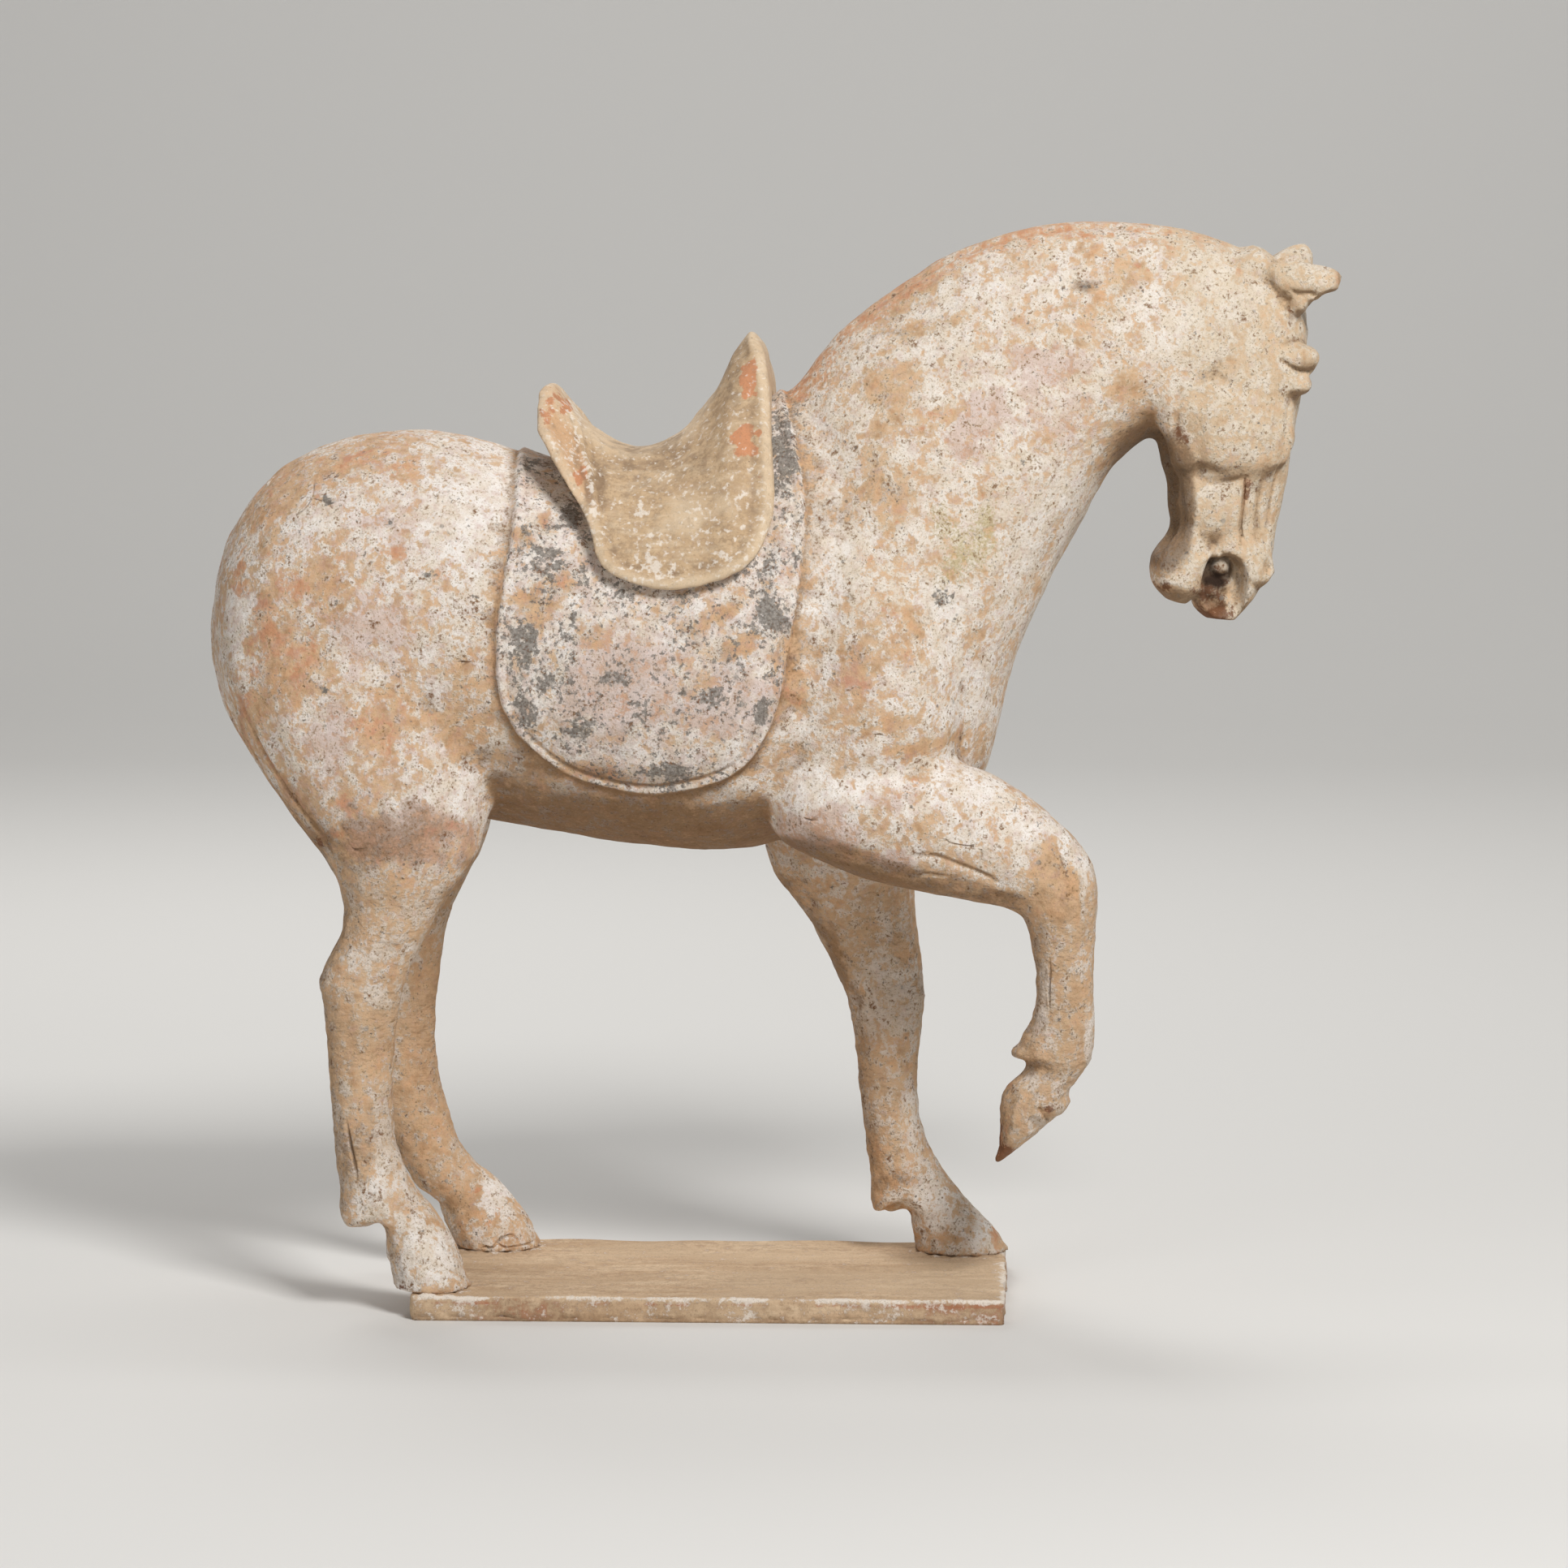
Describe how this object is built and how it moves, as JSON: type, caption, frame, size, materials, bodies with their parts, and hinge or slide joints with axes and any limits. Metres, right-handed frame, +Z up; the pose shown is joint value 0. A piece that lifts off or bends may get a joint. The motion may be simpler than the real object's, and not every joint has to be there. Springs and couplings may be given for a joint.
{
  "type": "chinese tomb horse",
  "caption": "Pawing earthenware tomb horse with arched neck, saddle cloth and high-backed saddle, standing on a thin slab.",
  "frame": {"origin": "centre of the slab's underside, on the surface that it stands on", "axes": "+X the way the horse faces, +Z up, so its left side is towards +Y and the raised right foreleg towards -Y"},
  "size_m": [0.4699, 0.1408, 0.4503],
  "materials": {
    "slipped_body": "buff earthenware under worn cream slip, with traces of orange and pink pigment, burial earth and black flecks",
    "saddle_ochre": "earthenware with worn yellow-brown pigment, pale slip flakes and orange spots",
    "slab_clay": "rough tan earthenware, earth-stained, with pale slip left along its upper edge"
  },
  "bodies": {
    "root": {"horse": "slipped_body", "saddle": "saddle_ochre", "base_slab": "slab_clay"}
  },
  "joints": []
}
